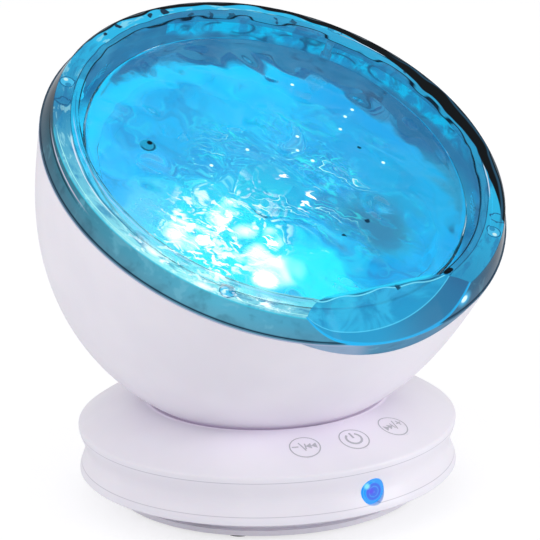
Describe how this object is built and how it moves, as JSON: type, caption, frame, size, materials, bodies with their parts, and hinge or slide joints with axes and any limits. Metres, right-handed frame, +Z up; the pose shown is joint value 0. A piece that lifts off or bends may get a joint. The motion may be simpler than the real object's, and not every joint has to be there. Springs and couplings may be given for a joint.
{
  "type": "ocean wave projector",
  "caption": "Tabletop wave light projector: a tilting bowl with a clear cover, rippled lenses and a geared turning disc, on a round base with touch controls, speaker and indicator lens.",
  "frame": {"origin": "on the table under the base's axis, in the plane of the rubber feet", "axes": "+Z up along the base's axis, -Y to the front where the controls are, +X to the right"},
  "size_m": [0.1296, 0.1232, 0.129],
  "materials": {
    "shell_white": "satin white moulding",
    "clear_cover": "clear moulded cover with a light blue tint",
    "rippled_acrylic": "clear rippled acrylic",
    "ring_acrylic": "clear moulding",
    "inner_white": "matt reflecting white",
    "gear_acetal": "natural acetal",
    "foot_rubber": "matt",
    "screw_steel": "bright",
    "spring_steel": "bright wire",
    "plated_steel": "plated",
    "nut_brass": "turned",
    "post_aluminium": "turned tube",
    "clamp_plastic": "low-friction plastic",
    "speaker_black": "coated paper and moulded frame",
    "jack_black": "moulded",
    "board_green": "glass-fibre laminate with lacquer",
    "board_white": "laminate with white lacquer",
    "lamp_resin": "clear resin",
    "lens_blue": "blue translucent lens",
    "lead_red": "insulated lead",
    "lead_grey": "insulated lead"
  },
  "bodies": {
    "base": {"base_bottom": "shell_white", "base_ring": "shell_white", "base_top": "shell_white", "rubber_feet": "foot_rubber", "base_screws": "screw_steel", "speaker_frame": "speaker_black", "speaker_magnet": "plated_steel", "speaker_lead": "lead_red", "main_board": "board_green", "usb_inlet": "plated_steel", "audio_jack": "jack_black", "touch_board": "board_green", "touch_springs": "spring_steel", "board_screws": "screw_steel", "board_lead": "lead_grey", "indicator_led": "lamp_resin", "indicator_lens": "lens_blue"},
    "cone": {"speaker_cone": "speaker_black"},
    "head": {"bowl_shell": "shell_white", "tilt_post": "post_aluminium", "post_screws": "screw_steel", "clamp_saddle": "clamp_plastic", "clamp_spring": "spring_steel", "clamp_washer": "plated_steel", "clamp_nut": "nut_brass", "motor_plate": "gear_acetal", "motor": "plated_steel", "motor_screws": "screw_steel", "gear_pin": "screw_steel", "gear_plate": "gear_acetal", "gearbox_screws": "screw_steel", "motor_lead": "lead_red", "led_board": "board_white", "leds": "lamp_resin", "lamp_tray": "inner_white", "tray_screws": "screw_steel", "lens_ring": "ring_acrylic", "ripple_lens": "rippled_acrylic", "lens_screws": "screw_steel", "cover_lens": "clear_cover"},
    "disc": {"disc_spindle": "screw_steel", "disc_gear": "gear_acetal", "disc_hub": "gear_acetal", "wave_disc": "rippled_acrylic", "disc_cap": "gear_acetal"},
    "compound": {"compound_gear": "gear_acetal"},
    "pinion": {"motor_shaft": "screw_steel", "motor_pinion": "gear_acetal"}
  },
  "joints": [
    {"name": "head_tilt", "type": "hinge", "parent": "base", "child": "head", "pos_m": [0, 0, 0.07879], "axis": [1, 0, 0], "range_deg": [-31.2, 13.8]},
    {"name": "disc_spin", "type": "hinge", "parent": "head", "child": "disc", "pos_m": [0, -0.00445, 0.08614], "axis": [0, -0.518, 0.8554], "continuous": true},
    {"name": "compound_spin", "type": "hinge", "parent": "head", "child": "compound", "pos_m": [0, 0.02593, 0.08327], "axis": [0, -0.518, 0.8554], "continuous": true},
    {"name": "pinion_spin", "type": "hinge", "parent": "head", "child": "pinion", "pos_m": [-0.01842, 0.02144, 0.07774], "axis": [0, -0.518, 0.8554], "continuous": true},
    {"name": "cone_travel", "type": "slide", "parent": "base", "child": "cone", "axis": [0, 0, 1], "range_m": [-0.0004, 0.0004], "stiffness_N_per_m": 1776}
  ],
  "couplings": [
    {"joint": "compound_spin", "follows": "disc_spin", "ratio": -4},
    {"joint": "pinion_spin", "follows": "disc_spin", "ratio": 12}
  ]
}
